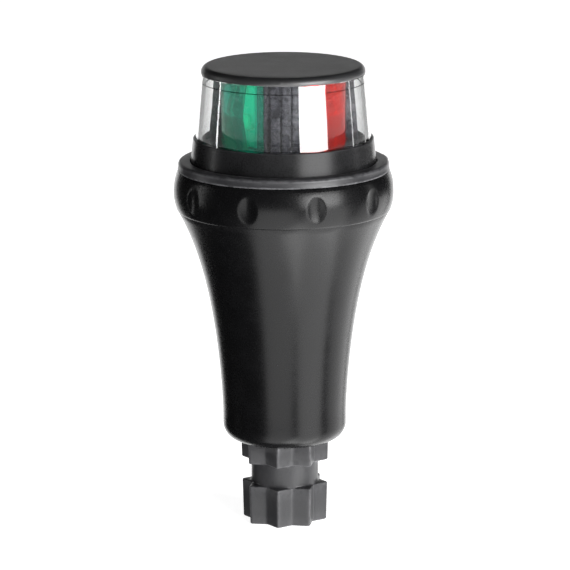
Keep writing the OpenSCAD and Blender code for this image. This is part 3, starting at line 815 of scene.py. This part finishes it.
def post(x, y, radius, low, high, sides=24):
    """A round post with chamfered ends, as a closed skin."""
    turns = spread(sides)
    rows = [(radius - 0.2, low), (radius, low + 0.2), (radius, high - 0.2), (radius - 0.2, high)]
    points = []
    for r, z in rows:
        points.append(np.stack([x + r * np.cos(turns), y + r * np.sin(turns),
                                np.full(sides, z)], 1))
    faces = [tuple(range(sides - 1, -1, -1)), tuple(3 * sides + i for i in range(sides))]
    for i in range(3):
        for a in range(sides):
            b = (a + 1) % sides
            faces.append((i * sides + a, i * sides + b, (i + 1) * sides + b, (i + 1) * sides + a))
    return np.concatenate(points), faces


def at(azimuth, radius):
    """Place in plan at an azimuth counted from dead ahead towards +X."""
    turn = math.radians(azimuth)
    return radius * math.sin(turn), -radius * math.cos(turn)


board_top = reach("driver_board")[1].z
post_r = 3.0
post_ring = 27.0
head_posts = [post(*at(azimuth, post_ring), post_r, board_top, shelf_under + 0.6)
              for azimuth in (30, 150, 270)]
satin_head = moulded("satin_head", (0.004, 0.004, 0.0042), (0.007, 0.007, 0.0075),
                     0.28, 0.10, 0.5, 0.006, wear_and_highlight=0.3)
add_piece("head_moulding", "head", ["head_base"],
          [wrap(head_rows, head_angles), *head_posts], satin_head, crease=34)
dress("head_o_ring", seal_rubber)
dress("lens_gasket", seal_rubber)


# ---------------------------------------------------------------- flange ring
# A narrow trim ring snapped over the head's tongue against the grip's rim, moulded in a
# slightly greyer plastic, with a rolled lower lip and a small thumb lug to port.
ring_r = 38.09
ring_in = land_r + 0.15
ring_angles = spread(480)
wear = 0.035
wobble = sum(np.sin(ring_angles * n + n * n) / n for n in (5, 11, 17, 29, 43)) * wear
lug_azimuth = 103
lug_half = 3.8
lug = abs(off_azimuth(ring_angles, lug_azimuth)) < math.radians(lug_half)
lug_out = np.where(lug, 0.25, 0.0)
lip_r = 0.38
shoulder = 1.1
inset = 0.22
ring_rows = [(ring_in, ring_low.z + 0.1), (ring_in + 0.1, ring_low.z), (ring_r - 0.5, ring_low.z)]
ring_rows += [(r + wobble, z) for r, z in
              rounding(ring_r - lip_r, ring_low.z + lip_r, lip_r - 0.02, -80, 0, 4)]
ring_rows += [(ring_r - 0.12 + wobble * 0.6, ring_low.z + 0.75),
              (ring_r - 0.2 + lug_out, ring_low.z + 1.0),
              (ring_r - inset + lug_out, ring_high.z - 1.3)]
ring_rows += [(r - inset + lug_out, z) for r, z in
              rounding(ring_r - shoulder, ring_high.z - shoulder, shoulder, 8, 86, 6)]
ring_rows += [(collar_r + 0.42, ring_high.z), (collar_r + 0.27, ring_high.z - 0.12),
              (collar_r + 0.25, tongue_z + 1.35), (tongue_r + 0.1, tongue_z + 1.35),
              (tongue_r + 0.1, tongue_z - 0.05), (ring_in, tongue_z - 0.05)]
# the ring's rolled lower lip and edges are painted much paler: a painted highlight on the lip,
# besides some rubbed wear
ring_grey = moulded("ring_grey", (0.008, 0.008, 0.009), (0.015, 0.015, 0.016),
                    0.36, 0.2, 0.7, 0.02, wear_and_highlight=0.9)
add_piece("trim_ring", "head", ["flange_ring"],
          [wrap(ring_rows, ring_angles)], ring_grey, crease=34)


# ---------------------------------------------------------------- light shield
# The black moulding that keeps each colour to its own arc: a pillar dead ahead, a web
# behind it and a bulkhead across the chamber, standing on the optic base.
def softened(name, body, node, finish, width, segments=2):
    """A CAD node's solid, welded and with its edges eased."""
    made = bmesh.new()
    made.from_mesh(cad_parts[node].data)
    bmesh.ops.remove_doubles(made, verts=made.verts, dist=0.003 * MM)
    bmesh.ops.dissolve_limit(made, angle_limit=math.radians(1.5), verts=made.verts,
                             edges=made.edges)
    sharp = [e for e in made.edges
             if len(e.link_faces) == 2 and e.calc_face_angle(0) > math.radians(30)]
    bmesh.ops.bevel(made, geom=sharp, offset=width * MM, offset_type="OFFSET", segments=segments,
                    profile=0.5, affect="EDGES", clamp_overlap=True)
    mesh = bpy.data.meshes.new(name)
    made.to_mesh(mesh)
    made.free()
    return settle(mesh, name, body, [node], finish, 36)


# the shield's edges are painted paler: a painted highlight along the bulkhead's edges, besides
# some rubbed wear
shield_black = moulded("shield_black", (0.003, 0.003, 0.004), (0.006, 0.006, 0.008),
                       0.22, 0.4, 0.5, 0.004, wear_and_highlight=0.6)
softened("sector_shield", "head", "light_shield", shield_black, 0.18)
softened("optic_floor", "head", "optic_base", shield_black, 0.25)


# ---------------------------------------------------------------- coloured lenses
# Two curved acrylic filters, green to starboard and red to port, thick at top and bottom
# and thin at the waist, so that they also squeeze the beam towards the horizon.
def acrylic(name, tint, roughness, let_through, clarity=1.0):
    """Clear or tinted acrylic; lamps reach what is behind it."""
    made = Finish(name, IOR=1.49, Transmission_Weight=clarity)
    made.feed("Roughness", made.noise(5.0, 2.0) * 0.02 + roughness)
    haze = made.noise(7.0, 2.0)
    made.feed("Base Color", haze.between(tuple(c * 0.96 for c in tint), tint))
    made.bump(made.noise(4.0, 1.0), 0.01)
    lamp = made.place.node("ShaderNodeLightPath", out="Is Shadow Ray")
    open_way = made.place.node("ShaderNodeBsdfTransparent", None, {0: (*let_through, 1.0)})
    both = made.place.node("ShaderNodeMixShader", None,
                           {0: lamp, 1: Shade(made.tree, made.shader.outputs[0]), 2: open_way})
    made.tree.links.new(both.socket, made.tree.nodes["Material Output"].inputs["Surface"])
    return made.material


tint_low, tint_high = reach("port_lens")
tint_r = tint_high.x
tint_start = 17.6
tint_stop = 108.6
facet_end = 41.0
thick = 4.5
thin = 2.0


def filter_skin(side):
    """One coloured lens: a flat front window beside the pillar, then a curved, waisted rest."""
    azimuths = np.concatenate([np.linspace(tint_start, facet_end, 8),
                               np.linspace(facet_end + 0.4, tint_stop, 60)])
    middle = math.radians((tint_start + facet_end) / 2)
    chord = tint_r * math.cos(math.radians(facet_end - tint_start) / 2)
    heights = np.linspace(tint_low.z, tint_high.z, 25)
    centre = (tint_low.z + tint_high.z) / 2
    half = (tint_high.z - tint_low.z) / 2
    loops = []
    for azimuth in azimuths:
        turn = math.radians(azimuth)
        flat = chord / math.cos(turn - middle)
        front = azimuth <= facet_end
        outside = min(flat, tint_r) if front else tint_r
        loop = [(outside, z) for z in heights]
        for z in reversed(heights):
            waist = abs(z - centre) / half
            inside = outside - thin if front else outside - thin - (thick - thin) * waist
            loop.append((inside, z))
        x, y = math.sin(turn), -math.cos(turn)
        loops.append([(side * r * x, r * y, z) for r, z in loop])
    count = len(loops[0])
    points = np.array([p for loop in loops for p in loop])
    last = (len(loops) - 1) * count
    faces = [tuple(range(count)), tuple(last + i for i in reversed(range(count)))]
    for i in range(len(loops) - 1):
        for a in range(count):
            b = (a + 1) % count
            faces.append((i * count + a, i * count + b, (i + 1) * count + b, (i + 1) * count + a))
    return points, faces


green = acrylic("green_acrylic", (0.03, 0.66, 0.47), 0.03, (0.15, 0.9, 0.7), clarity=0.94)
red = acrylic("red_acrylic", (0.85, 0.03, 0.012), 0.03, (0.9, 0.12, 0.06), clarity=0.95)
add_piece("starboard_filter", "head", ["starboard_lens"], [filter_skin(-1)],
          green, crease=25)
add_piece("port_filter", "head", ["port_lens"], [filter_skin(1)], red, crease=25)


# ---------------------------------------------------------------- lamp boards
# A small white board behind each colour, standing on the optic base's upstand, with one
# ceramic lamp soldered on its lower half and two red-sleeved leads down to the driver.
def printed(name, mask, pad, roughness):
    """Solder mask with a weave under it and tinned pads scattered over it."""
    made = Finish(name, Specular_IOR_Level=0.5)
    weave = made.noise(0.5, 2.0)
    spots = made.noise(2.2, 0.0).over(0.66, 0.01)
    made.feed("Base Color", spots.between(weave.between(mask, tuple(c * 1.12 for c in mask)), pad))
    made.feed("Roughness", weave * 0.15 + roughness)
    made.bump(weave, 0.01)
    return made.material


def lamp_face():
    """Yellowish white ceramic with a mottled glaze."""
    made = Finish("lamp_ceramic", Specular_IOR_Level=0.5)
    glaze = made.noise(0.6, 2.0)
    made.feed("Base Color", glaze.between((0.78, 0.76, 0.62), (0.9, 0.88, 0.74)))
    made.feed("Roughness", glaze * 0.2 + 0.25)
    made.bump(glaze, 0.01)
    return made.material


white_board = printed("white_board", (0.72, 0.72, 0.70), (0.55, 0.53, 0.45), 0.4)
green_board = printed("green_board", (0.012, 0.10, 0.045), (0.55, 0.52, 0.42), 0.35)
lamp_white = lamp_face()
for side in ("starboard", "port"):
    softened(f"{side}_lamp_board", "head", f"{side}_led_board", white_board, 0.2)
    softened(f"{side}_lamp", "head", f"{side}_led", lamp_white, 0.15)


# ---------------------------------------------------------------- driver board
# A round green board screwed under the head's posts, with its coil, chips and capacitor,
# a wound brass contact in the middle and three brass fingers that wipe the return ring.
def part_body():
    """Black epoxy of the parts on the board, with a sandy mottle."""
    made = Finish("part_epoxy", Specular_IOR_Level=0.4)
    sand = made.noise(0.35, 2.0)
    made.feed("Base Color", sand.between((0.015, 0.015, 0.016), (0.035, 0.035, 0.037)))
    made.feed("Roughness", sand * 0.2 + 0.45)
    made.bump(sand, 0.015)
    return made.material


dress("driver_board", green_board)
dress("driver_parts", part_body())
dress("ring_fingers", brass)
contact_low, contact_high = reach("centre_contact")
springs("centre_spring_contact", "head", "centre_contact", brass,
        [(0, 0, contact_low.z, contact_high.z, 2.0, 3.6, 0.4, 4.0)])


# ---------------------------------------------------------------- small screws
# Six pan-head screws of stainless steel: three hold the driver board to the posts and
# three hold the optic base to the shelf, all driven from below.
def screw_tree():
    """A pan-head screw with a cross recess at each point of a ring."""
    tree = bpy.data.node_groups.new("ring_of_screws", "GeometryNodeTree")
    tree.is_modifier = True
    kinds = (("Screw", "Object"), ("Count", "Int"), ("Ring radius", "Float"), ("First", "Float"),
             ("Height", "Float"), ("Steel", "Material"))
    sizes = {name: tree.interface.new_socket(name, in_out="INPUT", socket_type="NodeSocket" + kind)
             for name, kind in kinds}
    tree.interface.new_socket("Geometry", in_out="OUTPUT", socket_type="NodeSocketGeometry")
    given = tree.nodes.new("NodeGroupInput")
    circle = tree.nodes.new("GeometryNodeMeshCircle")
    screw = tree.nodes.new("GeometryNodeObjectInfo")
    placed = tree.nodes.new("GeometryNodeInstanceOnPoints")
    turn = tree.nodes.new("ShaderNodeCombineXYZ")
    lift = tree.nodes.new("ShaderNodeCombineXYZ")
    shift = tree.nodes.new("GeometryNodeTransform")
    real = tree.nodes.new("GeometryNodeRealizeInstances")
    paint = tree.nodes.new("GeometryNodeSetMaterial")
    made = tree.nodes.new("NodeGroupOutput")
    link = tree.links.new
    link(given.outputs["Count"], circle.inputs["Vertices"])
    link(given.outputs["Ring radius"], circle.inputs["Radius"])
    link(given.outputs["Screw"], screw.inputs["Object"])
    link(circle.outputs["Mesh"], placed.inputs["Points"])
    link(screw.outputs["Geometry"], placed.inputs["Instance"])
    link(given.outputs["First"], turn.inputs["Z"])
    link(given.outputs["Height"], lift.inputs["Z"])
    link(placed.outputs["Instances"], shift.inputs["Geometry"])
    link(turn.outputs["Vector"], shift.inputs["Rotation"])
    link(lift.outputs["Vector"], shift.inputs["Translation"])
    link(shift.outputs["Geometry"], real.inputs["Geometry"])
    link(real.outputs["Geometry"], paint.inputs["Geometry"])
    link(given.outputs["Steel"], paint.inputs["Material"])
    link(paint.outputs["Geometry"], made.inputs[0])
    return tree, {name: socket.identifier for name, socket in sizes.items()}


screw_head_h = 1.8
thread_pitch = 0.5


def pan_screw(length):
    """One screw, head down on height 0: cross recess, domed head, threaded shank."""
    sides = 48
    turns = spread(sides)
    slot = 0.35
    arm = np.minimum(slot / np.maximum(abs(np.sin(turns)), 1e-3),
                     slot / np.maximum(abs(np.cos(turns)), 1e-3))
    cross = np.minimum(np.maximum(arm, slot), 1.3)
    rows = [(0.0, 0.9), (cross * 0.6, 0.9), (cross, 0.06), (1.6, 0.0), (2.2, 0.25), (2.5, 0.8),
            (2.5, 1.7), (2.4, screw_head_h), (1.25, screw_head_h)]
    rise = 2.0
    while rise < screw_head_h + length - 0.8:
        rows += [(1.05, rise), (1.3, rise + thread_pitch / 2)]
        rise += thread_pitch
    rows += [(1.0, screw_head_h + length - 0.4), (0.0, screw_head_h + length)]
    points, faces = wrap(rows, turns)
    return points, faces[:-sides]


def screws(name, node, length, ring, first):
    """A ring of three screws as one piece."""
    low, high = reach(node)
    points, faces = pan_screw(length)
    sample = bpy.data.meshes.new("screw")
    made = bmesh.new()
    corners = [made.verts.new(p * MM) for p in points]
    for face in faces:
        made.faces.new([corners[i] for i in face])
    bmesh.ops.remove_doubles(made, verts=made.verts, dist=weld * MM)
    bmesh.ops.recalc_face_normals(made, faces=made.faces)
    made.to_mesh(sample)
    made.free()
    one = bpy.data.objects.new("screw_sample", sample)
    scene.collection.objects.link(one)
    tree, sockets = screw_tree()
    mesh = grown(name, tree, sockets, {
        "Screw": one, "Count": 3, "Ring radius": ring * MM, "First": math.radians(first - 90),
        "Height": low.z * MM, "Steel": stainless})
    bpy.data.objects.remove(one)
    return settle(mesh, name, "head", [node], stainless, 30)


board_low, board_high = reach("board_screws")
optic_low, optic_high = reach("optic_screws")
optic_ring = 25.7
screws("driver_board_screws", "board_screws", board_high.z - board_low.z - screw_head_h,
       post_ring, 30)
screws("optic_base_screws", "optic_screws", optic_high.z - optic_low.z - screw_head_h,
       optic_ring, 90)


# ---------------------------------------------------------------- lead wires
# Two thin sleeved wires for each lamp board, soldered to the driver, up through the optic
# base and over to the back of the board.
sleeve = Finish("wire_sleeve", Specular_IOR_Level=0.5)
smear = sleeve.noise(1.5, 3.0)
sleeve.feed("Base Color", smear.between((0.30, 0.02, 0.015), (0.42, 0.04, 0.03)))
sleeve.feed("Roughness", smear * 0.2 + 0.3)
sleeve.bump(smear, 0.02)
dress("lead_wires", sleeve.material)


# ---------------------------------------------------------------- clear lens
# The thick clear acrylic sleeve round the lantern, injection moulded and polished, bonded
# down into the collar on its gasket, with a shallow rebate inside its rim for the cap.
sleeve_foot_r = lens_high.x
sleeve_top_r = 29.4
sleeve_lean = (31.5 - sleeve_top_r) / (lens_high.z - collar_z)
sleeve_wall = 2.0
rebate_z = lens_high.z - 3.2
rebate_t = 0.35
sleeve_angles = spread(256)


def sleeve_out(z):
    """The clear sleeve's outer radius at height z."""
    return sleeve_foot_r - max(0.0, z - collar_z) * sleeve_lean


def sleeve_in(z):
    """The clear sleeve's inner radius at height z, above its rebate."""
    return sleeve_out(z) - sleeve_wall


sleeve_rows = [(sleeve_foot_r - sleeve_wall, lens_low.z + 0.1),
               (sleeve_foot_r - sleeve_wall + 0.1, lens_low.z), (sleeve_foot_r - 0.2, lens_low.z),
               (sleeve_foot_r, lens_low.z + 0.2), (sleeve_foot_r, collar_z)]
sleeve_rows += [(sleeve_out(z), z) for z in np.linspace(collar_z + 2, lens_high.z - 0.12, 12)]
sleeve_rows += [(sleeve_out(lens_high.z) - 0.12, lens_high.z),
                (sleeve_in(lens_high.z) + rebate_t + 0.08, lens_high.z),
                (sleeve_in(lens_high.z) + rebate_t, lens_high.z - 0.08),
                (sleeve_in(rebate_z) + rebate_t, rebate_z + rebate_t / 2),
                (sleeve_in(rebate_z), rebate_z - rebate_t / 2)]
sleeve_rows += [(sleeve_in(z), z) for z in np.linspace(rebate_z - 1.5, collar_z, 10)]
clear_acrylic = acrylic("clear_acrylic", (0.975, 0.98, 0.98), 0.0, (0.97, 0.98, 0.98))
add_piece("clear_sleeve", "head", ["clear_lens"],
          [wrap(sleeve_rows, sleeve_angles)], clear_acrylic, crease=28)


# ---------------------------------------------------------------- top cap
# A shallow black cap on a foam bonding pad, with a finely textured top, a rounded rim and
# the gate mark of its moulding at the front.
cap_low, cap_high = reach("top_cap")
cap_r = cap_high.x
cap_round = 2.2
cap_angles = spread(360)
gate = np.exp(-(off_azimuth(cap_angles, -1.0) / math.radians(0.9)) ** 2) * 0.12
cap_rows = [(0.0, cap_low.z + 0.8), (cap_r - 4.4, cap_low.z + 0.8), (cap_r - 4.4, cap_low.z + 0.1),
            (cap_r - 4.3, cap_low.z), (cap_r - 0.2, cap_low.z), (cap_r - 0.05, cap_low.z + 0.06),
            (cap_r, cap_low.z + 0.2)]
cap_rows += [(r + gate * math.cos(math.radians(4 * i)), z)
             for i, (r, z) in enumerate(rounding(cap_r - cap_round, cap_high.z - cap_round,
                                                 cap_round, 0, 90, 14))]
cap_rows += [(r, cap_high.z) for r in (24.0, 12.0)]
cap_rows += [(0.0, cap_high.z)]
foam = rubber("foam_pad", (0.05, 0.05, 0.05), (0.10, 0.10, 0.10))
cap_black = moulded("cap_black", (0.005, 0.005, 0.0055), (0.010, 0.010, 0.0105),
                    0.42, 0.5, 0.45, 0.05, wear_and_highlight=0.05)
add_piece("lantern_cap", "head", ["top_cap"], [wrap(cap_rows, cap_angles)],
          cap_black, crease=40)
dress("cap_bond_pad", foam)


# ---------------------------------------------------------------- finish
low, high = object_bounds()
